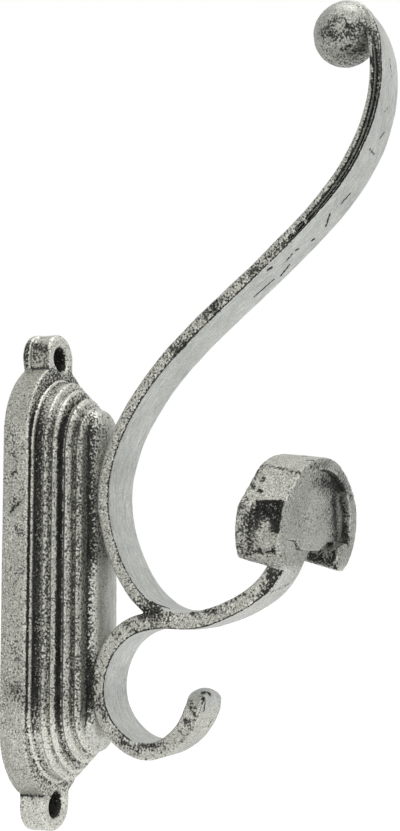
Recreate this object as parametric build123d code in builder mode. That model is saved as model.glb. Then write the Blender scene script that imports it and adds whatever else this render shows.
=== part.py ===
from build123d import *
import math
import os

# Wall hook, cast in one piece: a stepped oval wall plate with a screw lug at each end,
# a long curled upper arm that ends in a ball, a middle arm that ends in a half-round
# strap rest, and a small hook below. The wall is the plane Y = 0, the hook stands out
# along -Y and Z is up. The origin lies on the wall, midway between the two screw holes.
# "Out" in a comment is the distance from the wall, and all sizes are millimetres.

# Screw lugs
screw_spacing = 137.0
screw_bore_radius = 3.25
bore_mouth_radius = 3.85
lug_radius = 7.9
lug_depth = 8.5
lug_edge_bevel = 0.8
lug_flat_cut = 0.75
lug_back_flange = 2.2
lug_flange_shift = 1.5

# Wall plate, from the wall outwards
rim_half_width = 20.0
rim_half_length = 67.1
rim_depth = 8.8
rim_edge_bevel = 0.5
shoulder_share = 1.2
crown_share = 0.65

# Moulding on the plate: side inset, end inset, thickness and edge bevel of each ring
moulding = [
    (1.8, 5.6, 0.3, 0.0),
    (1.2, 5.2, 0.7, 0.0),
    (2.5, 6.2, 2.2, 0.0),
    (2.1, 6.1, 2.3, 1.0),
    (3.3, 8.4, 2.3, 1.0),
    (5.9, 12.0, 0.7, 0.0),
    (5.4, 11.4, 2.7, 1.2),
    (7.7, 14.2, 2.6, 1.1),
]

# Crowned boss down the middle of the plate, where the arms join it
boss_half_width = 8.0
boss_half_length = 52.0
boss_depth = 4.2

# Bars of the hook
upper_bar_width = 16.4
lower_bar_width = 15.4
bar_edge_bevel = 0.4

# Centre lines of the bars: distance out from the boss's crown, height, and thickness
upper_arm_stations = [
    (23.2, -11.5, 4.6),
    (16.4, -8.4, 4.2),
    (10.0, -2.1, 4.0),
    (4.3, 8.5, 3.9),
    (1.1, 23.0, 3.9),
    (3.1, 36.5, 3.9),
    (10.6, 51.6, 3.9),
    (24.7, 68.0, 3.9),
    (44.4, 84.7, 3.9),
    (63.7, 101.0, 3.9),
    (77.1, 115.0, 4.0),
    (85.2, 129.5, 4.0),
    (88.3, 145.0, 4.0),
    (86.5, 158.0, 3.6),
    (81.5, 166.2, 3.0),
    (75.7, 169.2, 2.4),
]
middle_arm_stations = [
    (16.7, -10.0, 4.6),
    (23.2, -11.8, 5.2),
    (31.2, -11.8, 5.3),
    (39.2, -9.6, 4.9),
    (46.4, -6.3, 4.8),
    (52.6, -1.8, 4.8),
    (56.7, 4.0, 4.8),
    (59.2, 9.0, 4.8),
    (62.4, 13.2, 4.4),
    (64.4, 19.0, 3.0),
]
lower_hook_stations = [
    (25.2, -12.4, 4.6),
    (17.2, -12.3, 5.0),
    (11.4, -13.6, 5.2),
    (5.6, -17.5, 5.0),
    (1.4, -23.8, 4.6),
    (-0.4, -31.4, 4.3),
    (1.0, -39.8, 4.4),
    (6.5, -46.9, 4.8),
    (15.2, -50.2, 4.8),
    (22.9, -47.6, 4.9),
    (28.0, -42.6, 5.1),
    (30.5, -37.2, 5.4),
    (30.9, -34.6, 5.4),
]
tip_radius = 2.9
tip_side_reach = 12.0

# Ball at the top of the upper arm, set out from the end of the arm's centre line
ball_radius = 9.6
ball_below_tip = 9.6
ball_ahead_of_tip = 1.2
curl_taper_start = 150.0
curl_tip_half_width = 3.2

# Groove along each side of the upper arm, under its outer face
groove_outer_skin = 0.8
groove_start_width = 0.4
groove_end_width = 1.9
groove_depth = 1.5
groove_bottom = 80.0
groove_top = 168.0

# Half-round strap rest, set out from the end of the middle arm's centre line
rest_ahead = 2.3
rest_foot_below = 12.1
rest_tilt = 7.0
rest_length = 13.1
rest_height = 28.0
rest_crown_radius = 42.0
rest_side_radius = 12.8
rest_side_angle = 42.0
rest_top_wall = 3.5
rest_inner_crown_radius = 36.0
rest_inner_side_radius = 14.0
rest_inner_side_angle = 34.0
toe_height = 8.7
toe_reach = 17.5
foot_trim_angle = 17.0
foot_trim_front = 0.4
shoulder_flat_angle = 42.5
shoulder_flat_cut = 1.5
web_setback = 2.3
web_wall = 3.0
web_edge_height = 3.6
flare_half_width = 13.0
flare_drop = 2.6

# Wedge-shaped hollow in the -X leg of the rest
recess_corner_half_width = 28.6
recess_behind_front = 0.5
recess_top = 14.6
recess_length = 9.0
recess_height = 9.8
recess_back_slope = 6.0
recess_down_slope = 12.5


def plate_outline(half_width, half_length):
    """Return the plate's outline: straight sides and ends of three arcs each."""
    shoulder = shoulder_share * half_width
    crown = crown_share * half_width
    crown_angle = math.degrees(math.asin((half_width - shoulder) / (crown - shoulder)))
    crown_centre = half_length - crown
    shoulder_centre = crown_centre + (crown - shoulder) * math.cos(math.radians(crown_angle))
    with BuildSketch() as outline:
        with BuildLine():
            Line((half_width, 0), (half_width, shoulder_centre))
            CenterArc((half_width - shoulder, shoulder_centre), shoulder, 0, 90 - crown_angle)
            CenterArc((0, crown_centre), crown, 90 - crown_angle, crown_angle)
            mirror(about=Plane.YZ)
            mirror(about=Plane.XZ)
        make_face()
    return outline.sketch


def ring_slab(side_inset, end_inset, thickness, bevel, base):
    """Return one ring of the moulding as a slab over the plate, bevelled if it is a bead."""
    with BuildPart() as slab:
        with BuildSketch(Plane.XZ.offset(base)):
            add(plate_outline(rim_half_width - side_inset, rim_half_length - end_inset))
        extrude(amount=thickness)
        if bevel:
            chamfer(slab.faces().filter_by(Axis.Y).edges(), bevel)
    return slab.part


def bar_outline(stations):
    """Return a bar seen from the side, from its centre line and its thickness at each station."""
    centre = Spline(*[(out, up) for out, up, thick in stations])
    left, right = [], []
    for out, up, thick in stations:
        along = centre.tangent_at(centre.param_at_point((out, up)))
        across = Vector(-along.Y, along.X) * (thick / 2)
        left.append(Vector(out, up) + across)
        right.append(Vector(out, up) - across)
    with BuildSketch() as outline:
        with BuildLine():
            Spline(*left)
            Line(left[-1], right[-1])
            Spline(*right)
            Line(right[0], left[0])
        make_face()
    return outline.sketch


def groove_line(stations):
    """Return the stations of a groove that widens upwards under the bar's outer face."""
    centre = Spline(*[(out, up) for out, up, thick in stations])
    line = []
    for number, (out, up, thick) in enumerate(stations):
        along = centre.tangent_at(centre.param_at_point((out, up)))
        across = Vector(along.Y, -along.X)
        share = number / (len(stations) - 1)
        width = groove_start_width + (groove_end_width - groove_start_width) * share
        middle = Vector(out, up) + across * (thick / 2 - groove_outer_skin - width / 2)
        line.append((middle.X, middle.Y, width))
    return line


def side_arc_centre(top_height, crown_radius, side_radius, side_angle):
    """Return the centre of the +X side arc of a half-round shape."""
    between = crown_radius - side_radius
    turn = math.radians(side_angle)
    return between * math.sin(turn), top_height - crown_radius + between * math.cos(turn)


def rest_face(top_height, crown_radius, side_radius, side_angle):
    """Return the closed half-round shape with the given top, crown and side arcs."""
    side_out, side_up = side_arc_centre(top_height, crown_radius, side_radius, side_angle)
    with BuildSketch() as shape:
        with BuildLine():
            CenterArc((0, top_height - crown_radius), crown_radius, 90 - side_angle, side_angle)
            CenterArc((side_out, side_up), side_radius, -90, 180 - side_angle)
            Line((side_out, side_up - side_radius), (0, side_up - side_radius))
            mirror(about=Plane.YZ)
        make_face()
    return shape.sketch


# Stations along each bar are drawn on this plane: X is out from the boss's crown, Y is up
plate_front = rim_depth + sum(ring[2] for ring in moulding)
boss_front = plate_front + boss_depth
side_plane = Plane(origin=(0, -boss_front, 0), x_dir=(0, -1, 0), z_dir=(-1, 0, 0))
upper_half_width = upper_bar_width / 2
lower_half_width = lower_bar_width / 2
lug_height = screw_spacing / 2
curl_tip_out, curl_tip_up, curl_tip_thick = upper_arm_stations[-1]
ball_out = boss_front + curl_tip_out + ball_ahead_of_tip
ball_up = curl_tip_up - ball_below_tip

# Stepped plate: the rim, the rings of the moulding over it, and the crowned boss
with BuildPart() as plate:
    with BuildSketch(Plane.XZ):
        add(plate_outline(rim_half_width, rim_half_length))
    extrude(amount=rim_depth)
    chamfer(plate.faces().sort_by(Axis.Y)[0].edges(), rim_edge_bevel)
    base = rim_depth
    for side_inset, end_inset, thickness, bevel in moulding:
        add(ring_slab(side_inset, end_inset, thickness, bevel, base))
        base += thickness
    # The boss is a crowned ridge with the same crown turned about its ends
    boss_turn = boss_half_length - boss_half_width
    with BuildSketch(Plane.XY.offset(-boss_turn)):
        with Locations((0, -plate_front)):
            Ellipse(boss_half_width, boss_depth)
            Rectangle(2 * boss_half_width, boss_depth, align=(Align.CENTER, Align.MIN), mode=Mode.SUBTRACT)
    extrude(amount=2 * boss_turn)
    for end in (-boss_turn, boss_turn):
        with BuildSketch(Plane.XY.offset(end)):
            with Locations((0, -plate_front)):
                Ellipse(boss_half_width, boss_depth)
                Rectangle(
                    2 * boss_half_width, boss_depth, align=(Align.CENTER, Align.MIN), mode=Mode.SUBTRACT
                )
                Rectangle(
                    boss_half_width, 2 * boss_depth, align=(Align.MAX, Align.CENTER), mode=Mode.SUBTRACT
                )
        revolve(axis=Axis((0, -plate_front, end), (0, -1, 0)))

# Screw lugs, one strip behind the plate with a round end above and below
with BuildPart() as lugs:
    with BuildSketch(Plane.XZ):
        SlotCenterToCenter(screw_spacing, 2 * lug_radius, rotation=90)
    extrude(amount=lug_depth)
    chamfer(lugs.faces().sort_by(Axis.Y)[0].edges(), lug_edge_bevel)
    # The top lug's -X side is cast flat in front of its back flange
    flat_height = 2 * lug_radius
    with BuildSketch(Plane.XZ.offset(lug_back_flange)):
        with Locations((-lug_radius, lug_height)):
            Rectangle(2 * lug_flat_cut, flat_height)
    extrude(amount=lug_depth, mode=Mode.SUBTRACT)
    with BuildSketch(Plane.XZ):
        with Locations((-lug_flange_shift, lug_height)):
            Circle(lug_radius)
    extrude(amount=lug_back_flange)

# Upper arm, cut from its side view
upper_bar = bar_outline(upper_arm_stations)
groove_stations = [station for station in upper_arm_stations if groove_bottom < station[1] < groove_top]
groove_side = bar_outline(groove_line(groove_stations))
with BuildPart() as upper_arm:
    with BuildSketch(side_plane):
        add(upper_bar)
    extrude(amount=upper_half_width, both=True)
    chamfer(upper_arm.faces().filter_by(Axis.X).edges(), bar_edge_bevel)
    # Grooves along both sides, under the outer face
    for side in (-1, 1):
        groove_floor = Plane(
            origin=(side * (upper_half_width - groove_depth), -boss_front, 0),
            x_dir=(0, -1, 0),
            z_dir=(-1, 0, 0),
        )
        with BuildSketch(groove_floor):
            add(groove_side)
        extrude(amount=-side * upper_bar_width, mode=Mode.SUBTRACT)
    # The curl narrows over the ball
    curl_top = curl_tip_up + curl_tip_thick
    with BuildSketch(Plane.XZ):
        with BuildLine():
            Polyline(
                (upper_half_width, curl_taper_start),
                (curl_tip_half_width, curl_top),
                (upper_bar_width, curl_top),
                (upper_bar_width, curl_taper_start),
                close=True,
            )
        make_face()
        mirror(about=Plane.YZ)
    extrude(amount=ball_out + 2 * ball_radius, mode=Mode.SUBTRACT)
    with Locations((0, -ball_out, ball_up)):
        Sphere(ball_radius)

# Middle arm and lower hook, cut from one side view
middle_bar = bar_outline(middle_arm_stations)
lower_bar = bar_outline(lower_hook_stations)
with BuildPart() as lower_arms:
    with BuildSketch(side_plane):
        add(middle_bar)
        add(lower_bar)
    extrude(amount=lower_half_width, both=True)
    chamfer(lower_arms.faces().filter_by(Axis.X).edges(), bar_edge_bevel)
    # The lower hook ends in a round bead, which is round in the front view too
    tip_out, tip_up, tip_thick = lower_hook_stations[-1]
    with BuildSketch(side_plane):
        with Locations((tip_out, tip_up)):
            Circle(tip_radius)
    extrude(amount=lower_half_width, both=True)
    with BuildSketch(Plane.XZ.offset(boss_front + tip_out - tip_side_reach)):
        with Locations((0, tip_up + tip_radius - lower_half_width)):
            Rectangle(2 * lower_bar_width, lower_bar_width, align=(Align.CENTER, Align.MIN))
            Circle(lower_half_width, mode=Mode.SUBTRACT)
    extrude(amount=2 * tip_side_reach, mode=Mode.SUBTRACT)

# Half-round strap rest: an arched strip with turned-in toes, closed by a web that the arm spreads into
arm_end_out, arm_end_up, arm_end_thick = middle_arm_stations[-1]
tilt = math.radians(rest_tilt)
rest_front = Plane(
    origin=(0, -(boss_front + arm_end_out + rest_ahead), arm_end_up - rest_foot_below),
    x_dir=(1, 0, 0),
    z_dir=(0, -math.cos(tilt), -math.sin(tilt)),
)
rest_outer = rest_face(rest_height, rest_crown_radius, rest_side_radius, rest_side_angle)
rest_inner = rest_face(
    rest_height - rest_top_wall, rest_inner_crown_radius, rest_inner_side_radius, rest_inner_side_angle
)
side_out, side_up = side_arc_centre(rest_height, rest_crown_radius, rest_side_radius, rest_side_angle)
foot_bottom = side_up - rest_side_radius
toe_top = foot_bottom + toe_height
toe_end = toe_height / 2
with BuildSketch() as rest_hollow:
    add(rest_inner)
    with Locations((0, toe_top)):
        Rectangle(2 * rest_crown_radius, rest_height, align=(Align.CENTER, Align.MAX), mode=Mode.SUBTRACT)
        Rectangle(2 * (toe_reach + toe_end), rest_height, align=(Align.CENTER, Align.MAX))
with BuildPart() as rest:
    with BuildSketch(rest_front):
        add(rest_outer)
        add(rest_hollow.sketch, mode=Mode.SUBTRACT)
        for side in (-1, 1):
            with Locations((side * (toe_reach + toe_end), foot_bottom + toe_end)):
                Circle(toe_end)
    extrude(amount=-rest_length)
    with BuildSketch(rest_front.offset(-web_setback)):
        add(rest_outer)
        with Locations((0, web_edge_height)):
            Rectangle(2 * rest_crown_radius, rest_height, align=(Align.CENTER, Align.MAX), mode=Mode.SUBTRACT)
        with BuildLine():
            Polyline(
                (-flare_half_width, web_edge_height),
                (-lower_half_width, web_edge_height - flare_drop),
                (lower_half_width, web_edge_height - flare_drop),
                (flare_half_width, web_edge_height),
                close=True,
            )
        make_face()
    extrude(amount=-web_wall)
    # The -X shoulder is ground flat
    with BuildSketch(rest_front):
        with Locations(Location((-side_out, side_up), (0, 0, shoulder_flat_angle))):
            with Locations((0, rest_side_radius - shoulder_flat_cut)):
                Rectangle(2 * rest_side_radius, rest_side_radius, align=(Align.CENTER, Align.MIN))
    extrude(amount=-rest_length, mode=Mode.SUBTRACT)
    # The feet are trimmed on a slope that rises towards the wall
    foot_slope = math.radians(foot_trim_angle)
    foot_plane = Plane(
        origin=rest_front.origin + rest_front.y_dir * (foot_bottom + foot_trim_front),
        x_dir=(1, 0, 0),
        z_dir=(0, -math.sin(foot_slope), math.cos(foot_slope)),
    )
    split(bisect_by=foot_plane, keep=Keep.TOP)
    # A wedge-shaped hollow in the outer side of the -X leg, deepest at its top front corner
    back_slope = math.tan(math.radians(recess_back_slope))
    down_slope = math.tan(math.radians(recess_down_slope))
    sideways, upwards, outwards = rest_front.x_dir, rest_front.y_dir, rest_front.z_dir
    recess_floor = Plane(
        origin=rest_front.origin
        - sideways * recess_corner_half_width
        + upwards * recess_top
        - outwards * recess_behind_front,
        x_dir=-outwards - sideways * back_slope,
        z_dir=-sideways + outwards * back_slope + upwards * down_slope,
    )
    with BuildSketch(recess_floor):
        Rectangle(recess_length, recess_height, align=(Align.MIN, Align.MIN))
    extrude(amount=rest_side_radius, mode=Mode.SUBTRACT)

# The whole hook is one casting
with BuildPart() as hook_casting:
    add(plate.part)
    add(lugs.part)
    # The screw bores go through the lugs and the rim before the arm is over them
    with Locations(Plane.XZ.offset(rim_depth)):
        with Locations((0, lug_height), (0, -lug_height)):
            CounterSinkHole(screw_bore_radius, bore_mouth_radius)
    add(upper_arm.part)
    add(lower_arms.part)
    add(rest.part)

hook_casting.part.label = "hook_casting"
os.makedirs("parts", exist_ok=True)
export_step(hook_casting.part, "parts/hook_casting.step")
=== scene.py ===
"""Looks of the cast wall hook: its worn, pitted surface, its patina with painted shade mixed into it,
the light and the camera.

The hook stands out along -Y from the wall plane Y = 0, and Z is up. "Out" in a name or a
comment is the distance from the wall. Sizes are in millimetres, and MM turns them to metres.
"""

import itertools
import logging
import math
from dataclasses import dataclass
from enum import Enum
from typing import Sequence, Union

import bpy
import numpy as np
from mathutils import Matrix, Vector
from mathutils.bvhtree import BVHTree


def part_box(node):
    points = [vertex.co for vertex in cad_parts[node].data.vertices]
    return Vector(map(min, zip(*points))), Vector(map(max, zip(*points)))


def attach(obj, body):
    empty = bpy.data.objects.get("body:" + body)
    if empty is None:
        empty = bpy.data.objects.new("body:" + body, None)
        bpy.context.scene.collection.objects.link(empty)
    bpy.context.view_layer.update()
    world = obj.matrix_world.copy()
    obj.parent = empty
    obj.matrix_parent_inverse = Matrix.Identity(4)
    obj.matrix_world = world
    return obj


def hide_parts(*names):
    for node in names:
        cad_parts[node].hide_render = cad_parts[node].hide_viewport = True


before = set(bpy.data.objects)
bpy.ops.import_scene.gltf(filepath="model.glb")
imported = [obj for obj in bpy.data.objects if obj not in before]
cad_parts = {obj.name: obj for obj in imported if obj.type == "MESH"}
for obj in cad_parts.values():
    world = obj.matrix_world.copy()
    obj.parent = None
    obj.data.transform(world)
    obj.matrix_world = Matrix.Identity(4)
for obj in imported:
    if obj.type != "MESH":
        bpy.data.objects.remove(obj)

MM = 0.001
# Turns (x, y, z) into (x, out, z) and back
FLIP = np.array([1, -1, 1])
NODE = "hook_casting"

log = logging.getLogger("wall_hook")


class Region(Enum):
    """A part of the casting that becomes one piece of the visual model."""

    UPPER_PLATE = "upper_plate_surface"
    LOWER_PLATE = "lower_plate_surface"
    BOSS = "boss_surface"
    UPPER_ARM = "upper_arm_surface"
    LOWER_ARMS = "lower_arms_surface"
    REST = "rest_surface"


@dataclass(frozen=True)
class Mark:
    """A dark mark seen in the photograph, between two of its pixels.

    Args:
        start: The pixel of one end, counted to the right and down.
        end: The pixel of the other end.
        radius: How far from the line between them it has faded to about a third, in millimetres.
        depth: How dark it is in the middle, where 1 is almost wholly dark.
    """

    start: tuple[float, float]
    end: tuple[float, float]
    radius: float
    depth: float


@dataclass(frozen=True)
class PatinaAndShadeStreak:
    """A streak darkened on the surface: some hold dark patina left in the casting, some painted shade;
    with a negative depth one lightens instead.

    Args:
        start: One end as (x, out, z).
        end: The other end.
        radius: How far from the line between them it has faded to about a third.
        depth: How dark it is in the middle, where 1 is almost wholly dark.
    """

    start: tuple[float, float, float]
    end: tuple[float, float, float]
    radius: float
    depth: float

    def reach(self, points: np.ndarray) -> np.ndarray:
        """Return how strongly the streak covers each (x, out, z) point."""
        first, line = np.array(self.start), np.array(self.end) - np.array(self.start)
        away = points - first
        along = np.clip(away @ line / max(line @ line, 1e-6), 0, 1)
        gap = np.linalg.norm(away - along[:, None] * line, axis=1)
        return self.depth * np.exp(-((gap / self.radius) ** 2))


# Dark marks of the photograph, read off it: start and end pixel, radius and depth
# On the upper arm's side and outer face
UPPER_ARM_MARKS = (
    Mark((171, 350), (182, 344), 1.3, 0.5),
    Mark((186, 343), (196, 333), 1.3, 0.5),
    Mark((208, 315), (215, 307), 1.6, 0.62),
    Mark((214, 304), (226, 298), 1.1, 0.45),
    Mark((251, 273), (257, 269), 1.3, 0.6),
    Mark((266, 257), (277, 250), 1.0, 0.35),
    Mark((285, 247), (305, 223), 1.1, 0.3),
    Mark((303, 224), (307, 221), 0.65, 0.5),
    Mark((269, 269), (271, 268), 0.8, 1.2),
    Mark((254, 297), (274, 279), 0.5, 0.85),
    Mark((281, 275), (289, 265), 0.5, 0.95),
    Mark((286, 261), (292, 254), 0.55, 0.8),
    Mark((296, 250), (298, 249), 0.55, 0.95),
    Mark((312, 240), (314, 239), 0.55, 0.95),
    Mark((326, 226), (330, 214), 0.55, 0.82),
    Mark((176, 355), (185, 346), 0.8, 0.5),
    Mark((342, 203), (350, 194), 0.55, 0.77),
    Mark((385, 112), (388, 106), 0.7, 0.5),
    Mark((370, 149), (374, 154), 0.55, 0.67),
    Mark((380, 138), (384, 132), 0.6, 0.62),
    Mark((371, 82), (373, 91), 0.65, 0.6),
    Mark((372, 74), (374, 76), 0.65, 0.7),
    Mark((365, 125), (369, 118), 1.0, 0.3),
)
# On the ball and the end of the curl
BALL_MARKS = (
    Mark((390, 60), (392, 76), 0.6, 0.62),
    Mark((323, 32), (332, 32), 2.2, 0.5),
    Mark((336, 36), (344, 34), 1.6, 0.45),
    Mark((347, 25), (351, 28), 1.1, 0.7),
    Mark((330, 22), (338, 18), 1.6, 0.4),
    Mark((360, 26), (372, 34), 2.0, 0.6),
    Mark((352, 34), (362, 44), 1.6, 0.4),
    Mark((352, 52), (364, 50), 1.6, 0.4),
    Mark((342, 50), (350, 46), 0.65, 0.7),
    Mark((370, 58), (372, 64), 0.65, 1.1),
)
# On the junction, the middle arm and the lower hook
LOWER_ARMS_MARKS = (
    Mark((144, 612), (156, 612), 2.2, 0.62),
    Mark((124, 625), (128, 624), 1.0, 0.5),
    Mark((134, 631), (137, 629), 1.0, 0.5),
    Mark((114, 634), (120, 634), 0.65, 0.5),
    Mark((152, 602), (168, 608), 1.0, 0.75),
    Mark((192, 613), (195, 615), 0.65, 0.8),
    Mark((206, 611), (217, 610), 1.0, 0.55),
    Mark((93, 674), (96, 682), 1.3, 0.35),
    Mark((97, 695), (98, 704), 0.8, 0.6),
    Mark((101, 700), (104, 718), 1.0, 0.42),
    Mark((114, 732), (122, 742), 1.3, 0.4),
    Mark((124, 744), (136, 750), 1.4, 0.5),
    Mark((141, 744), (151, 746), 1.0, 0.6),
    Mark((152, 748), (162, 744), 1.3, 0.4),
    Mark((203, 693), (210, 694), 1.0, 0.8),
    Mark((203, 698), (204, 710), 0.65, 0.9),
    Mark((190, 703), (194, 715), 1.0, 0.5),
    Mark((184, 719), (190, 728), 0.8, 0.5),
    Mark((209, 725), (213, 719), 0.55, 0.6),
    # The next three: painted shadow of the rest's near foot on the arm below it
    Mark((266, 592), (272, 578), 1.9, 0.6),
    Mark((270, 574), (282, 572), 1.3, 0.7),
    Mark((272, 592), (288, 584), 1.0, 0.4),
    Mark((225, 604), (245, 594), 1.0, 0.3),
)
# On the strap rest
REST_MARKS = (
    Mark((303, 456), (306, 456), 0.6, 0.9),
    Mark((308, 460), (314, 460), 0.55, 0.8),
    Mark((259, 490), (261, 491), 0.7, 1.0),
    Mark((262, 481), (264, 478), 0.65, 0.7),
    Mark((251, 483), (253, 488), 0.65, 0.8),
    Mark((243, 505), (248, 498), 1.3, 0.35),
    Mark((248, 516), (250, 540), 1.6, 0.72),
    Mark((255, 513), (257, 526), 1.0, 0.75),
    Mark((249, 545), (250, 554), 0.8, 0.7),
    Mark((241, 548), (246, 554), 1.0, 0.45),
    Mark((254, 552), (258, 551), 0.55, 0.9),
    Mark((260, 549), (262, 553), 0.55, 0.9),
    Mark((267, 552), (272, 551), 0.55, 0.9),
    Mark((273, 549), (274, 553), 0.55, 0.9),
    Mark((254, 478), (262, 465), 0.65, 0.45),
    # The next nine: painted shade inside the rest's arch, on the far leg's inner side, the far web and
    # under the crown
    Mark((338, 484), (342, 490), 0.8, 0.8),
    Mark((340, 500), (345, 515), 1.0, 0.75),
    Mark((344, 525), (346, 543), 1.1, 0.9),
    Mark((334, 552), (334, 557), 0.65, 1.1),
    Mark((322, 480), (338, 488), 1.9, 0.5),
    Mark((334, 500), (336, 535), 1.9, 0.75),
    Mark((312, 556), (330, 562), 2.2, 0.8),
    Mark((310, 468), (330, 462), 1.3, 0.3),
    Mark((340, 475), (352, 500), 1.0, 0.3),
    # Painted shade along the boundary between the crown's facets
    Mark((264, 465), (300, 473), 0.65, 0.45),
)
# On the plate and its lugs
PLATE_MARKS = (
    Mark((12, 688), (14, 692), 2.2, 0.4),
    Mark((18, 686), (23, 700), 1.6, 0.35),
    Mark((12, 645), (18, 660), 1.6, 0.25),
    Mark((10, 513), (22, 500), 0.5, 0.8),
    Mark((12, 508), (15, 499), 0.5, 0.6),
    Mark((12, 474), (15, 471), 0.65, 0.7),
    Mark((16, 528), (21, 534), 1.0, 0.35),
    Mark((34, 345), (44, 350), 1.3, 0.6),
    # Painted shade in the crease at the lower lug
    Mark((20, 795), (43, 796), 0.55, 0.9),
    Mark((72, 400), (100, 430), 1.6, 0.2),
    Mark((10, 430), (16, 460), 1.9, 0.22),
)
MARKS = UPPER_ARM_MARKS + BALL_MARKS + LOWER_ARMS_MARKS + REST_MARKS + PLATE_MARKS

# Painted shade over the junction, over the rest's web, under the rest's ring and in the crease below the
# top lug; the web's lower edge is rubbed bright
PAINTED_SHADES_AND_RUBS = (
    PatinaAndShadeStreak((-8.0, 35.0, -8.0), (-8.0, 45.0, -10.0), 3.2, 0.45),
    PatinaAndShadeStreak((14.0, 92.5, 27.0), (19.0, 91.5, 12.0), 5.0, 0.45),
    PatinaAndShadeStreak((-4.0, 91.2, 8.8), (10.0, 91.5, 9.6), 2.0, -1.0),
    PatinaAndShadeStreak((-5.0, 89.5, 8.4), (-3.0, 89.0, 12.5), 1.6, -1.0),
    PatinaAndShadeStreak((-4.0, 93.8, 27.5), (16.0, 93.8, 27.5), 2.2, 0.4),
    PatinaAndShadeStreak((-7.9, 0.4, 65.0), (-7.7, 8.1, 64.8), 0.65, 0.9),
)

# How dark the plate is by the distance out from the wall, between its ends
PLATE_BANDS = (
    (0.0, 0.15), (8.6, 0.18), (8.8, 1.1), (9.15, 1.0),
    (9.3, 0.1), (9.75, 0.2), (9.9, 0.84), (11.9, 0.82),
    (12.2, 0.44), (13.8, 0.38), (14.3, 0.6), (14.9, 0.26),
    (16.3, 0.26), (16.65, 1.1), (17.2, 1.1), (17.5, 0.28),
    (19.6, 0.3), (20.0, 0.5), (20.4, 0.36), (22.4, 0.4),
)


def lattice_noise(points: np.ndarray, cell: float, seed: int) -> np.ndarray:
    """Return smooth random values over space.

    Args:
        points: One row of coordinates for each value.
        cell: The size of a lump of the noise, in the points' unit.
        seed: A whole number that picks one noise among many.

    Returns:
        One value between -1 and 1 for each point.
    """
    place = points / cell
    base = np.floor(place).astype(np.int64)
    part = place - base
    part = part * part * (3 - 2 * part)
    total = np.zeros(len(points))
    for corner in itertools.product((0, 1), repeat=3):
        key = (base + np.array(corner)) * np.array([73856093, 19349663, 83492791])
        mixed = (key[:, 0] ^ key[:, 1] ^ key[:, 2] ^ (seed * 40503)) & 0xFFFFFFFF
        mixed = ((mixed ^ (mixed >> 13)) * 1274126177) & 0xFFFFFFFF
        value = ((mixed ^ (mixed >> 16)) & 0xFFFF) / 32767.5 - 1
        weight = np.prod(np.where(np.array(corner), part, 1 - part), axis=1)
        total += value * weight
    return total


def fade(values: np.ndarray, low: float, high: float) -> np.ndarray:
    """Return 0 below low, 1 above high and a smooth rise between them."""
    share = np.clip((values - low) / (high - low), 0, 1)
    return share * share * (3 - 2 * share)


class MeshNet:
    """The vertices of a mesh and the edges between them, for smoothing over its surface."""

    def __init__(self, mesh: bpy.types.Mesh) -> None:
        """Read the edges of the mesh."""
        ends = np.empty(len(mesh.edges) * 2, np.int32)
        mesh.edges.foreach_get("vertices", ends)
        self.ends = ends.reshape(-1, 2)
        self.count = len(mesh.vertices)
        self.degree = np.bincount(self.ends.ravel(), minlength=self.count).astype(float)

    def average(self, values: np.ndarray) -> np.ndarray:
        """Return the mean of each vertex's neighbours, for one value or one row a vertex."""
        first, second = self.ends[:, 0], self.ends[:, 1]
        if values.ndim == 1:
            total = np.bincount(first, values[second], self.count)
            total += np.bincount(second, values[first], self.count)
            return total / self.degree
        return np.column_stack([self.average(values[:, n]) for n in range(values.shape[1])])

    def smoothed(self, values: np.ndarray, steps: int) -> np.ndarray:
        """Return the values after that many half steps towards the neighbours' mean."""
        for _ in range(steps):
            values = 0.5 * values + 0.5 * self.average(values)
        return values


def vertex_normals(mesh: bpy.types.Mesh) -> np.ndarray:
    """Return one unit normal for each vertex."""
    found = np.empty(len(mesh.vertices) * 3, np.float32)
    mesh.vertex_normals.foreach_get("vector", found)
    return found.reshape(-1, 3).astype(float)


def set_positions(mesh: bpy.types.Mesh, points: np.ndarray) -> None:
    """Move the mesh's vertices to the points."""
    mesh.vertices.foreach_set("co", points.astype(np.float32).ravel())
    mesh.update()


class Shade:
    """A shader socket that Python's operators work on, each adding a Math node."""

    def __init__(self, graph: "Graph", socket: bpy.types.NodeSocket) -> None:
        """Wrap an output socket of a node in the graph."""
        self.graph = graph
        self.socket = socket

    def _math(self, operation: str, *values: "Level") -> "Shade":
        """Add a Math node on the values and wrap its output."""
        return self.graph.node(
            "ShaderNodeMath", {"operation": operation}, {n: v for n, v in enumerate(values)}
        )

    def __add__(self, other: "Level") -> "Shade":
        """Return self + other."""
        return self._math("ADD", self, other)

    def __radd__(self, other: float) -> "Shade":
        """Return other + self."""
        return self._math("ADD", other, self)

    def __sub__(self, other: "Level") -> "Shade":
        """Return self - other."""
        return self._math("SUBTRACT", self, other)

    def __rsub__(self, other: float) -> "Shade":
        """Return other - self."""
        return self._math("SUBTRACT", other, self)

    def __mul__(self, other: "Level") -> "Shade":
        """Return self * other."""
        return self._math("MULTIPLY", self, other)

    def __rmul__(self, other: float) -> "Shade":
        """Return other * self."""
        return self._math("MULTIPLY", other, self)

    def __truediv__(self, other: "Level") -> "Shade":
        """Return self / other."""
        return self._math("DIVIDE", self, other)

    def smooth(self, low: float, high: float) -> "Shade":
        """Return 0 below low, 1 above high and a smooth rise between them."""
        return self.graph.node(
            "ShaderNodeMapRange",
            {"interpolation_type": "SMOOTHSTEP", "clamp": True},
            {"Value": self, "From Min": low, "From Max": high},
        )

    def clamped(self) -> "Shade":
        """Return the value kept between 0 and 1."""
        return self.graph.node("ShaderNodeClamp", {}, {"Value": self})


Level = Union[Shade, float]


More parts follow.
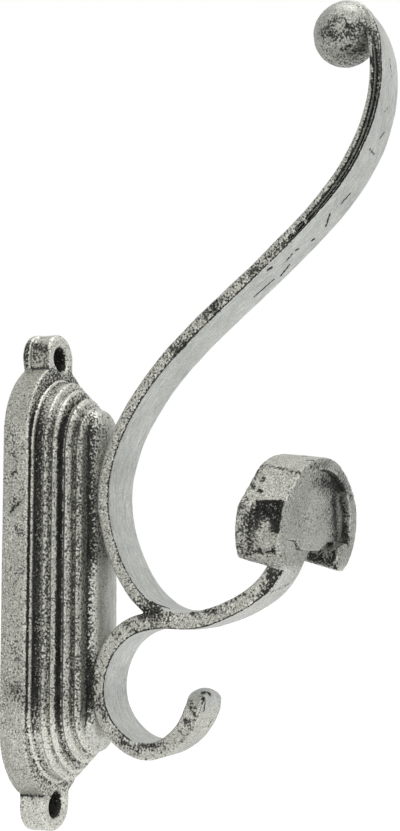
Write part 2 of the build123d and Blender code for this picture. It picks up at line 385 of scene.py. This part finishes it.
class Graph:
    """A material's node tree."""

    def __init__(self, name: str) -> None:
        """Make an empty material with an output node."""
        self.material = bpy.data.materials.new(name)
        self.material.use_nodes = True
        self.tree = self.material.node_tree
        self.tree.nodes.clear()
        self.output = self.tree.nodes.new("ShaderNodeOutputMaterial")

    def node(
        self, kind: str, settings: dict, values: dict, output: Union[int, str] = 0
    ) -> Shade:
        """Add a node.

        Args:
            kind: The node's type name.
            settings: The node's own properties, set before its sockets.
            values: For each socket, by name or number, a Shade to link or a plain value.
            output: The output socket that is returned.

        Returns:
            The output socket, wrapped.
        """
        made = self.tree.nodes.new(kind)
        for key, value in settings.items():
            setattr(made, key, value)
        for key, value in values.items():
            socket = made.inputs[key]
            if isinstance(value, Shade):
                self.tree.links.new(value.socket, socket)
            else:
                socket.default_value = value
        return Shade(self, made.outputs[output])

    def surface(self, shader: Shade) -> bpy.types.Material:
        """Link the shader to the material's surface and return the material."""
        self.tree.links.new(shader.socket, self.output.inputs["Surface"])
        return self.material

    def attribute(self, name: str) -> Shade:
        """Return a value stored on the mesh."""
        return self.node(
            "ShaderNodeAttribute", {"attribute_name": name, "attribute_type": "GEOMETRY"}, {}, "Fac"
        )

    def place(self, stretch: Sequence[float] = (1, 1, 1)) -> Shade:
        """Return the place on the object, multiplied along each axis."""
        where = self.node("ShaderNodeTexCoord", {}, {}, "Object")
        return self.node(
            "ShaderNodeVectorMath", {"operation": "MULTIPLY"}, {0: where, 1: tuple(stretch)}
        )

    def noise(self, where: Shade, size: float, detail: float = 2.0, rough: float = 0.5) -> Shade:
        """Return noise whose lumps are about size millimetres across."""
        return self.node(
            "ShaderNodeTexNoise",
            {"noise_dimensions": "3D"},
            {"Vector": where, "Scale": 1 / (size * MM), "Detail": detail, "Roughness": rough},
        )

    def mix(self, share: Level, first: "Tint", second: "Tint") -> Shade:
        """Return the first colour where share is 0 and the second where it is 1."""
        made = self.tree.nodes.new("ShaderNodeMix")
        made.data_type = "RGBA"
        made.clamp_factor = True
        for number, value in ((0, share), (6, first), (7, second)):
            if isinstance(value, Shade):
                self.tree.links.new(value.socket, made.inputs[number])
            else:
                made.inputs[number].default_value = value
        return Shade(self, made.outputs[2])


Tint = Union[Shade, tuple[float, float, float, float]]


@dataclass(frozen=True)
class AntiquePewter:
    """Cast metal rubbed bright, with dark patina left in its pits and hollows, and with painted shade
    and painted top light from the masks.
    """

    dull: tuple[float, float, float, float] = (0.26, 0.26, 0.23, 1.0)
    bright: tuple[float, float, float, float] = (0.92, 0.92, 0.84, 1.0)
    dull_clean: tuple[float, float, float, float] = (0.275, 0.285, 0.268, 1.0)
    bright_clean: tuple[float, float, float, float] = (0.885, 0.905, 0.86, 1.0)
    black: tuple[float, float, float, float] = (0.008, 0.008, 0.007, 1.0)
    grey: tuple[float, float, float, float] = (0.075, 0.074, 0.067, 1.0)
    grain_size: float = 0.62
    cluster_size: float = 4.0
    broad_size: float = 14.0
    stroke_size: float = 0.5
    bump_depth: float = 0.16

    def material(self) -> bpy.types.Material:
        """Return the node material of the finish."""
        graph = Graph("antique_pewter")
        where = graph.place()
        patina_and_shade, polish_and_top_light, clean = (graph.attribute(name) for name in ("patina_and_shade", "polish_and_top_light", "clean"))
        grain = graph.noise(where, self.grain_size, 2.0, 0.65) - 0.5
        fine = graph.noise(where, self.grain_size / 2, 1.0, 0.5) - 0.5
        cluster = graph.noise(where, self.cluster_size, 3.0, 0.55) - 0.5
        broad = graph.noise(where, self.broad_size, 2.0, 0.5) - 0.5
        strokes = graph.noise(graph.place((1.0, 0.14, 0.14)), self.stroke_size, 2.0, 0.6) - 0.5
        level = patina_and_shade + grain * (3.0 - clean * 1.2) + cluster * (0.8 - clean * 0.4)
        dark = level.smooth(0.36, 0.64)
        tone = polish_and_top_light + broad * 0.4 + fine * (2.6 - clean * 1.6) + strokes * clean * 0.9
        tone = (tone + cluster * (0.6 - clean * 0.3)).clamped()
        rubbed = graph.mix(tone, self.dull, self.bright)
        bare = graph.mix(tone, self.dull_clean, self.bright_clean)
        metal = graph.mix(clean, rubbed, bare)
        # The dark tint stands for patina and for painted shade alike
        thin = (fine * 3.0 + cluster * 2.0 + 1.0 - patina_and_shade * 0.9).clamped()
        patina_and_shade_tint = graph.mix(thin, self.black, self.grey)
        colour = graph.mix(dark, metal, patina_and_shade_tint)
        rough = (0.42 + dark * 0.35 + grain * 0.3).clamped()
        shine = (0.86 - dark * 0.8).clamped()
        relief = grain * 0.8 + fine * 0.4 + strokes * 0.15 - dark * 0.6 + cluster * 0.3
        bump = graph.node(
            "ShaderNodeBump",
            {},
            {"Strength": 0.8, "Distance": self.bump_depth * MM, "Height": relief * (1 - clean * 0.6)},
        )
        shader = graph.node(
            "ShaderNodeBsdfPrincipled",
            {},
            {
                "Base Color": colour,
                "Metallic": shine,
                "Roughness": rough,
                "Specular IOR Level": 0.15,
                "Normal": bump,
            },
        )
        return graph.surface(shader)


@dataclass(frozen=True)
class PaleFloor:
    """Matt pale floor that the camera sees as white, with the object's shadow on it."""

    tint: tuple[float, float, float, float] = (0.86, 0.86, 0.86, 1.0)
    seen_white: float = 0.75

    def material(self) -> bpy.types.Material:
        """Return the node material of the floor."""
        graph = Graph("pale_floor")
        matt = graph.node("ShaderNodeBsdfDiffuse", {}, {"Color": self.tint})
        white = graph.node("ShaderNodeEmission", {}, {"Color": (1, 1, 1, 1), "Strength": 1.25})
        camera = graph.node("ShaderNodeLightPath", {}, {}, "Is Camera Ray")
        glossy = graph.node("ShaderNodeLightPath", {}, {}, "Is Glossy Ray")
        share = (camera * self.seen_white + glossy * 0.3).clamped()
        return graph.surface(graph.node("ShaderNodeMixShader", {}, {0: share, 1: matt, 2: white}))


@dataclass
class Viewpoint:
    """The photograph's viewpoint."""

    target: tuple[float, float, float] = (0.0, -56.4, 48.75)
    azimuth: float = -65.6
    elevation: float = -6.2
    distance: float = 426.9
    lens: float = 61.65
    sensor: float = 36.0
    photo_size: tuple[float, float] = (400.0, 831.0)

    def back(self) -> Vector:
        """Return the direction from the target to the camera."""
        turn, rise = math.radians(self.azimuth), math.radians(self.elevation)
        return Vector(
            (math.sin(turn) * math.cos(rise), -math.cos(turn) * math.cos(rise), math.sin(rise))
        )

    def place(self) -> Vector:
        """Return where the camera stands, in metres."""
        return (Vector(self.target) + self.back() * self.distance) * MM

    def ray(self, pixel: Sequence[float]) -> Vector:
        """Return the direction in which the camera sees a pixel of the photograph."""
        back = self.back()
        right = Vector((0.0, 0.0, 1.0)).cross(back).normalized()
        above = back.cross(right)
        width, height = self.photo_size
        sideways = right * (pixel[0] - width / 2)
        upwards = above * (height / 2 - pixel[1])
        return (sideways + upwards - back * (self.lens / self.sensor * height)).normalized()

    def build(self) -> bpy.types.Object:
        """Add the camera, make it the scene's camera and return it."""
        lens = bpy.data.cameras.new("viewpoint")
        lens.lens = self.lens
        lens.sensor_width = self.sensor
        lens.clip_start = 0.01
        lens.clip_end = 50.0
        camera = bpy.data.objects.new("viewpoint", lens)
        camera.location = self.place()
        camera.rotation_euler = (-self.back()).to_track_quat("-Z", "Y").to_euler()
        bpy.context.scene.collection.objects.link(camera)
        bpy.context.scene.camera = camera
        log.info("camera %.1f degrees round, %.1f up", self.azimuth, self.elevation)
        return camera


class Sight:
    """What the photograph's pixels show of the CAD solid."""

    def __init__(self, node: bpy.types.Object, viewpoint: Viewpoint) -> None:
        """Keep the node's surface for finding where a ray meets it."""
        corners = [vertex.co.copy() for vertex in node.data.vertices]
        faces = [tuple(face.vertices) for face in node.data.polygons]
        self.surface = BVHTree.FromPolygons(corners, faces)
        self.viewpoint = viewpoint

    def point(self, pixel: Sequence[float]) -> tuple[float, float, float]:
        """Return the (x, out, z) in millimetres that a pixel shows."""
        seen = self.surface.ray_cast(self.viewpoint.place(), self.viewpoint.ray(pixel))[0] / MM
        return seen.x, -seen.y, seen.z

    def stains(self, marks: Sequence[Mark]) -> list[PatinaAndShadeStreak]:
        """Return the marks of the photograph as streaks on the surface, of patina and of painted shade.
        """
        return [
            PatinaAndShadeStreak(self.point(mark.start), self.point(mark.end), mark.radius, mark.depth)
            for mark in marks
        ]


@dataclass
class Casting:
    """The whole casting: its surface with the wobble, worn edges and patina of the real one, and with
    painted shade and painted top light.
    """

    sight: Sight
    voxel: float = 0.32
    soften_steps: int = 3
    wobble: float = 0.12
    ripple: float = 0.06
    rim_front: float = 8.8
    plate_front: float = 22.6
    boss_front: float = 26.8
    rest_back: float = 79.0
    recess_normal: tuple[float, float, float] = (-0.97, 0.13, 0.2)
    upper_arm_start: float = 40.0
    ball_height: float = 150.0
    ball_centre: tuple[float, float, float] = (0.0, 103.7, 159.6)
    ball_radius: float = 9.6
    arm_side: float = 8.2
    loop_centre: tuple[float, float] = (42.0, -32.0)
    hole_height: float = 68.5
    hole_radius: float = 4.0
    mouth_wear: float = 1.2

    def build(self, finish: bpy.types.Material) -> list[bpy.types.Object]:
        """Build the visual pieces of the casting.

        Args:
            finish: The material that they all take.

        Returns:
            One object for each region.
        """
        mesh = self._remeshed(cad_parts[NODE])
        net = MeshNet(mesh)
        self._soften(mesh, net)
        self._open_mouths(mesh)
        self._melt_curl_end(mesh)
        self._store_masks(mesh, net)
        self._roughen(mesh)
        mesh.materials.clear()
        mesh.materials.append(finish)
        return self._pieces(mesh)

    def _remeshed(self, node: bpy.types.Object) -> bpy.types.Mesh:
        """Return an even, closed mesh of the CAD node."""
        source = bpy.data.objects.new("remesh_source", node.data.copy())
        bpy.context.scene.collection.objects.link(source)
        remesh = source.modifiers.new("even", "REMESH")
        remesh.mode = "VOXEL"
        remesh.voxel_size = self.voxel * MM
        remesh.use_smooth_shade = True
        graph = bpy.context.evaluated_depsgraph_get()
        mesh = bpy.data.meshes.new_from_object(source.evaluated_get(graph))
        bpy.data.objects.remove(source)
        return mesh

    def _points(self, mesh: bpy.types.Mesh) -> np.ndarray:
        """Return each vertex's (x, out, z) in millimetres."""
        found = np.empty(len(mesh.vertices) * 3, np.float32)
        mesh.vertices.foreach_get("co", found)
        return found.reshape(-1, 3).astype(float) / MM * FLIP

    def _place(self, mesh: bpy.types.Mesh, points: np.ndarray) -> None:
        """Move the vertices to (x, out, z) in millimetres."""
        set_positions(mesh, points * FLIP * MM)

    def _soften(self, mesh: bpy.types.Mesh, net: MeshNet) -> None:
        """Round the edges as casting and rubbing do."""
        self._place(mesh, net.smoothed(self._points(mesh), self.soften_steps))

    def _open_mouths(self, mesh: bpy.types.Mesh) -> None:
        """Wear the mouths of the screw holes wider."""
        points = self._points(mesh)
        away = np.hypot(points[:, 0], np.abs(points[:, 2]) - self.hole_height)
        out = points[:, 1]
        worn = 1 - fade(away, self.hole_radius - 0.6, self.hole_radius + 1.0)
        worn *= fade(out, 6.5, 8.0) * (1 - fade(out, self.rim_front + 0.8, self.rim_front + 2.0))
        points[:, 1] -= self.mouth_wear * worn
        self._place(mesh, points)

    def _melt_curl_end(self, mesh: bpy.types.Mesh) -> None:
        """Melt the thin end of the curl into the top of the ball."""
        points = self._points(mesh)
        centre = np.array(self.ball_centre)
        away = points - centre
        gap = np.linalg.norm(away, axis=1)
        near = 1 - fade(gap, self.ball_radius + 2.5, self.ball_radius + 4.0)
        near *= fade(points[:, 2], 160, 164)
        near *= 1 - fade(points[:, 1], centre[1] + 2.0, centre[1] + 7.0)
        extra = np.clip(gap - self.ball_radius, 0, None) * near
        self._place(mesh, points - away / gap[:, None] * extra[:, None] * 0.9)

    def _roughen(self, mesh: bpy.types.Mesh) -> None:
        """Add the wobble and ripple of the sand-cast surface, less on the wall face."""
        points = self._points(mesh)
        normals = vertex_normals(mesh) * FLIP
        lift = self.wobble * lattice_noise(points, 7.0, 3) + self.ripple * lattice_noise(points, 2.2, 11)
        lift *= fade(points[:, 1], 0.2, 2.5)
        moved = points + normals * lift[:, None]
        low, high = (np.array(corner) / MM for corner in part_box(NODE))
        corners = np.array([low, high]) * FLIP
        self._place(mesh, np.clip(moved, corners.min(axis=0), corners.max(axis=0)))

    def _store_masks(self, mesh: bpy.types.Mesh, net: MeshNet) -> None:
        """Store the masks of patina with painted shade, of polish with painted top light, and of
        cleanness on the mesh.
        """
        points = self._points(mesh)
        normals = vertex_normals(mesh) * FLIP
        near = net.smoothed(points, 6)
        hollow = np.einsum("ij,ij->i", net.smoothed(near, 45) - points, normals)
        crease = np.einsum("ij,ij->i", near - points, normals)
        patina_and_shade, polish_and_top_light, clean = self._regions(points, normals)
        on_plate = 1 - fade(points[:, 1], self.plate_front - 0.5, self.plate_front)
        # Hollows and creases darker: patina left in them, and painted shade where shade falls in them
        patina_and_shade += 0.2 * fade(hollow, 0.05, 0.5) + (0.35 - 0.2 * on_plate) * fade(crease, 0.015, 0.08)
        # The upper arm's groove and outer edge: painted shade under the overhanging outer face, with
        # patina
        groove, groove_patina_and_shade = self._groove(points, normals, net)
        patina_and_shade += groove * (groove_patina_and_shade - patina_and_shade)
        # Marks and broad streaks darken the surface: patina, and painted shade where shade falls
        for streak in self.sight.stains(MARKS) + list(PAINTED_SHADES_AND_RUBS):
            patina_and_shade += np.clip(1 - patina_and_shade, 0, 1) * np.minimum(streak.reach(points), 1)
        polish_and_top_light += 0.12 * fade(-crease, 0.01, 0.07)
        masks = {"patina_and_shade": patina_and_shade, "polish_and_top_light": polish_and_top_light, "clean": clean}
        for name, values in masks.items():
            stored = mesh.attributes.new(name, "FLOAT", "POINT")
            stored.data.foreach_set("value", np.clip(values, 0, 1.1).astype(np.float32))

    def _groove(
        self, points: np.ndarray, normals: np.ndarray, net: MeshNet
    ) -> tuple[np.ndarray, np.ndarray]:
        """Return where the upper arm's side grooves and outer edges are, and how dark they are there:
        painted shade under the overhanging outer face, with patina.
        """
        across, _, up = points.T
        facing_side = fade(np.abs(normals[:, 0]), 0.4, 0.6)
        height = fade(up, 76, 82) * (1 - fade(up, 149, 152))
        floor = facing_side * fade(self.arm_side - np.abs(across), 0.25, 0.6)
        floor = fade(net.smoothed(floor, 8), 0.1, 0.4)
        outer = (1 - facing_side) * fade(normals[:, 1] - 0.25 * normals[:, 2], 0.1, 0.4)
        skin = fade(net.smoothed(outer, 12), 0.04, 0.12) * fade(up, 88, 102)
        level = 0.1 + 0.5 * fade(up, 122, 142)
        return facing_side * height * np.maximum(floor, skin), level + skin * (1.1 - level)

    def _regions(self, points: np.ndarray, normals: np.ndarray) -> tuple[np.ndarray, ...]:
        """Return the patina with painted shade, the polish with painted top light, and the cleanness
        that each region has by itself.
        """
        across, out, up = points.T
        facing_side = fade(np.abs(normals[:, 0]), 0.55, 0.8)
        facing_up = fade(normals[:, 2], 0.3, 0.95)
        facing_down = fade(-normals[:, 2], 0.3, 0.95)
        ends = fade(up, 44, 54) + fade(-up, 35, 47)
        lugs = fade(np.abs(up), 64, 67)
        lower = fade(-up, 35, 50)
        # The plate, by its bands from the wall outwards
        steps = np.interp(out, *zip(*PLATE_BANDS))
        raised = fade(out, self.rim_front - 0.2, self.rim_front)
        plate_patina_and_shade = steps * (1 - (0.5 + 0.14 * lower) * ends * raised) - 0.08 * lower * (1 - raised)
        plate_polish = 0.28 + (0.3 + 0.1 * lower) * ends * raised + (0.32 + 0.04 * lower) * lugs
        # The lugs' flats darker and duller, and their back flanges darker still with painted shade
        flat = lugs * fade(-normals[:, 0], 0.6, 0.9) * (1 - 0.85 * lower)
        plate_patina_and_shade += 0.12 * flat + 0.4 * flat * (1 - fade(out, 2.0, 2.5))
        plate_polish -= 0.4 * flat
        # Painted shade inside the screw holes, dark down the bore
        hole = np.hypot(across, np.abs(up) - self.hole_height)
        inside = 1 - fade(hole, self.hole_radius - 0.3, self.hole_radius + 0.3)
        plate_patina_and_shade += inside * (1.0 - plate_patina_and_shade)
        # The boss, with painted shade along its foot and behind the arms
        middle = fade(up, -27, -20) * (1 - fade(up, 2, 8))
        foot = 1 - fade(out, 22.0, 26.6)
        boss_shade = (0.92 - 0.2 * middle) * foot + 0.24 * (1 - middle)
        boss_patina_and_shade = 0.06 + boss_shade * (1 - ends) - 0.3 * foot * fade(up, 12, 30)
        # The arms, paler on the faces that look outwards
        # The dark line along the arms' outer edge: painted shade under the overhanging outer face, with
        # patina
        edge = np.exp(-(((normals[:, 0] + 0.70) / 0.2) ** 2))
        edge *= fade(normals[:, 1] - 0.25 * normals[:, 2], 0.02, 0.2)
        spoke = points[:, 1:] - np.array(self.loop_centre)
        convex = np.einsum("ij,ij->i", normals[:, 1:], spoke / np.linalg.norm(spoke, axis=1)[:, None])
        convex = fade(convex, 0.2, 0.5) * fade(-up, 34, 40) * fade(out, 34, 42)
        edge *= 1 - 0.85 * convex
        arm_patina_and_shade = (0.20 - 0.07 * fade(-up, 14, 20)) * facing_side
        arm_patina_and_shade += 0.02 * (1 - facing_side) + 0.95 * edge
        arm_patina_and_shade += 0.08 * facing_side * fade(up, 40, 60) * (1 - fade(up, 120, 135))
        arm_polish = 0.34 * facing_side + 0.46 * (1 - facing_side)
        arm_clean = (1 - facing_side) * (1 - edge) * (1 - 0.9 * convex)
        arm_clean *= 1 - 0.5 * fade(out, 55, 75) * (1 - fade(up, 12, 20))
        # The ball, with painted shade underneath and painted light on top, and the rest with painted
        # shade underneath, on the faces towards the wall and in its hollow
        ball = fade(up, self.ball_height - 2, self.ball_height + 1) * (1 - fade(out, 112, 115))
        ball_patina_and_shade = 0.14 + 0.22 * facing_down - 0.06 * facing_up
        rest = fade(out, self.rest_back - 0.5, self.rest_back) * fade(up, 2, 5) * (1 - fade(up, 50, 55))
        inward = fade(-normals[:, 1], 0.3, 0.8)
        under = fade(-normals[:, 2], 0.75, 0.95)
        front = fade(out, 94.6, 95.4) * fade(normals[:, 1], 0.6, 0.9)
        # Painted shade under the rest and on its faces towards the wall, painted light on faces that
        # look up
        rest_patina_and_shade = 0.16 + 0.45 * under + 0.1 * inward - 0.08 * facing_up + 0.05 * front
        rest_patina_and_shade += 0.15 * (1 - fade(out, 81, 85)) * facing_side
        # Painted shade in the recess on the near leg
        sunk = fade(normals @ np.array(self.recess_normal), 0.97, 0.99) * fade(-across, 28, 28.5)
        sunk *= fade(up, 11, 12) * (1 - fade(up, 21.6, 22)) * fade(out, 85.5, 87)
        rest_patina_and_shade += 0.82 * sunk * np.clip(fade(up, 14, 18) + fade(out, 90, 92.5), 0, 1)
        # The rest's top faces lighter: rubbed crown, and painted top light
        rest_polish_and_top_light = 0.2 + 0.28 * fade(normals[:, 2], 0.75, 0.95)
        rest_clean = 0.2 * (1 - facing_side) * (1 - facing_up)

        boss = 1 - fade(out, self.boss_front - 0.3, self.boss_front)
        plate = 1 - fade(out, self.plate_front + 0.1, self.plate_front + 0.3)
        patina_and_shade, polish_and_top_light, clean = arm_patina_and_shade, arm_polish, arm_clean
        # Each later layer covers the ones before it: share, patina with painted shade, polish with
        # painted top light, cleanness
        layers = (
            (ball, ball_patina_and_shade, 0.25, 0.3),
            (rest, rest_patina_and_shade, rest_polish_and_top_light, rest_clean),
            (boss, boss_patina_and_shade, 0.5 + 0.14 * middle, 0.3),
            (plate, plate_patina_and_shade, plate_polish, 0.0),
        )
        for share, layer_patina_and_shade, layer_polish_and_top_light, layer_clean in layers:
            patina_and_shade = patina_and_shade + share * (layer_patina_and_shade - patina_and_shade)
            polish_and_top_light = polish_and_top_light + share * (layer_polish_and_top_light - polish_and_top_light)
            clean = clean + share * (layer_clean - clean)
        # Painted top light on every face that looks up
        polish_and_top_light += 0.04 * facing_up
        return patina_and_shade, polish_and_top_light, clean

    def _pieces(self, mesh: bpy.types.Mesh) -> list[bpy.types.Object]:
        """Split the surface by region, with the shading of the whole kept over the joins."""
        normals = vertex_normals(mesh)
        points = self._points(mesh)
        corners = np.empty(len(mesh.loops), np.int32)
        mesh.loops.foreach_get("vertex_index", corners)
        corners = corners.reshape(-1, 4)
        middle = points[corners].mean(axis=1)
        on_plate = middle[:, 1] < self.plate_front + 0.4
        on_rest = (middle[:, 1] > self.rest_back) & (middle[:, 2] < 60) & (middle[:, 2] > 0)
        on_boss = ~on_plate & ~on_rest & (middle[:, 1] < self.boss_front + 0.4)
        on_arms = ~on_plate & ~on_rest & ~on_boss
        upper = middle[:, 2] > 0
        chosen = {
            Region.UPPER_PLATE: on_plate & upper,
            Region.LOWER_PLATE: on_plate & ~upper,
            Region.REST: on_rest,
            Region.BOSS: on_boss,
            Region.UPPER_ARM: on_arms & (middle[:, 2] > self.upper_arm_start),
            Region.LOWER_ARMS: on_arms & (middle[:, 2] <= self.upper_arm_start),
        }
        made = []
        for region, faces in chosen.items():
            used, renumbered = np.unique(corners[faces], return_inverse=True)
            quads = renumbered.reshape(-1, 4)
            part = bpy.data.meshes.new(region.value)
            part.from_pydata((points[used] * FLIP * MM).tolist(), [], quads.tolist())
            for source in ("patina_and_shade", "polish_and_top_light", "clean"):
                values = np.empty(len(points), np.float32)
                mesh.attributes[source].data.foreach_get("value", values)
                stored = part.attributes.new(source, "FLOAT", "POINT")
                stored.data.foreach_set("value", values[used])
            part.shade_smooth()
            part.normals_split_custom_set_from_vertices(normals[used].tolist())
            part.materials.append(mesh.materials[0])
            piece = bpy.data.objects.new(region.value, part)
            bpy.context.scene.collection.objects.link(piece)
            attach(piece, "root")
            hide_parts(NODE)
            log.info("%s: %d triangles", region.value, 2 * len(quads))
            made.append(piece)
        return made


@dataclass
class Lamp:
    """A soft rectangular lamp.

    Args:
        name: What it is called.
        place: Where it stands, in metres.
        aim: The point that it faces, in metres.
        size: The length of its sides, in metres.
        power: Its power in watts.
    """

    name: str
    place: tuple[float, float, float]
    aim: tuple[float, float, float]
    size: float
    power: float

    def build(self) -> bpy.types.Object:
        """Add the lamp to the scene and return it."""
        light = bpy.data.lights.new(self.name, "AREA")
        light.size = self.size
        light.energy = self.power
        lamp = bpy.data.objects.new(self.name, light)
        lamp.location = self.place
        towards = Vector(self.aim) - Vector(self.place)
        lamp.rotation_euler = towards.to_track_quat("-Z", "Y").to_euler()
        bpy.context.scene.collection.objects.link(lamp)
        return lamp


@dataclass
class Studio:
    """Pale floor, even white surroundings and soft lamps."""

    floor_height: float = -0.30
    floor_half_size: float = 12.0
    ambient: float = 0.70
    aim: tuple[float, float, float] = (0.0, -0.05, 0.04)

    def build(self) -> None:
        """Add the floor, the world and the lamps."""
        self._floor()
        self._world()
        lamps = [
            Lamp("top_lamp", (0.0, -0.25, 1.3), self.aim, 0.9, 5.5),
            Lamp("key_lamp", (-0.85, -0.85, 0.6), self.aim, 0.9, 2.4),
            Lamp("side_lamp", (-1.25, 0.0, 0.1), self.aim, 0.9, 2.0),
            Lamp("low_lamp", (-0.2, -1.1, -0.2), self.aim, 0.9, 1.1),
            Lamp("far_lamp", (1.2, -0.5, 0.4), self.aim, 0.9, 0.4),
        ]
        for lamp in lamps:
            lamp.build()
            log.info("%s: %.1f W", lamp.name, lamp.power)

    def _floor(self) -> None:
        """Add the floor as one large square."""
        half, height = self.floor_half_size, self.floor_height
        square = ((-half, -half), (half, -half), (half, half), (-half, half))
        corners = [(across, deep, height) for across, deep in square]
        mesh = bpy.data.meshes.new("floor")
        mesh.from_pydata(corners, [], [(0, 1, 2, 3)])
        mesh.materials.append(PaleFloor().material())
        floor = bpy.data.objects.new("floor", mesh)
        bpy.context.scene.collection.objects.link(floor)
        log.info("floor at %.3f m", height)

    def _world(self) -> None:
        """Make the surroundings white to the camera and in reflections, and softer as light."""
        world = bpy.data.worlds.new("studio")
        bpy.context.scene.world = world
        world.use_nodes = True
        tree = world.node_tree
        tree.nodes.clear()
        output = tree.nodes.new("ShaderNodeOutputWorld")
        back = tree.nodes.new("ShaderNodeBackground")
        back.inputs["Color"].default_value = (1.0, 1.0, 1.0, 1.0)
        path = tree.nodes.new("ShaderNodeLightPath")
        reach = tree.nodes.new("ShaderNodeMapRange")
        reach.inputs["To Min"].default_value = self.ambient
        reach.inputs["To Max"].default_value = 1.0
        tree.links.new(path.outputs["Is Camera Ray"], reach.inputs["Value"])
        tree.links.new(reach.outputs["Result"], back.inputs["Strength"])
        tree.links.new(back.outputs["Background"], output.inputs["Surface"])


def main() -> None:
    """Build the looks, the studio and the camera, and note the sizes."""
    logging.basicConfig(level=logging.INFO, format="%(name)s: %(message)s")
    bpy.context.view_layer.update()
    bpy.context.scene.view_settings.view_transform = "Standard"
    viewpoint = Viewpoint()
    sight = Sight(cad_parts[NODE], viewpoint)
    Casting(sight).build(AntiquePewter().material())
    Studio().build()
    viewpoint.build()


if __name__ == "__main__":
    main()
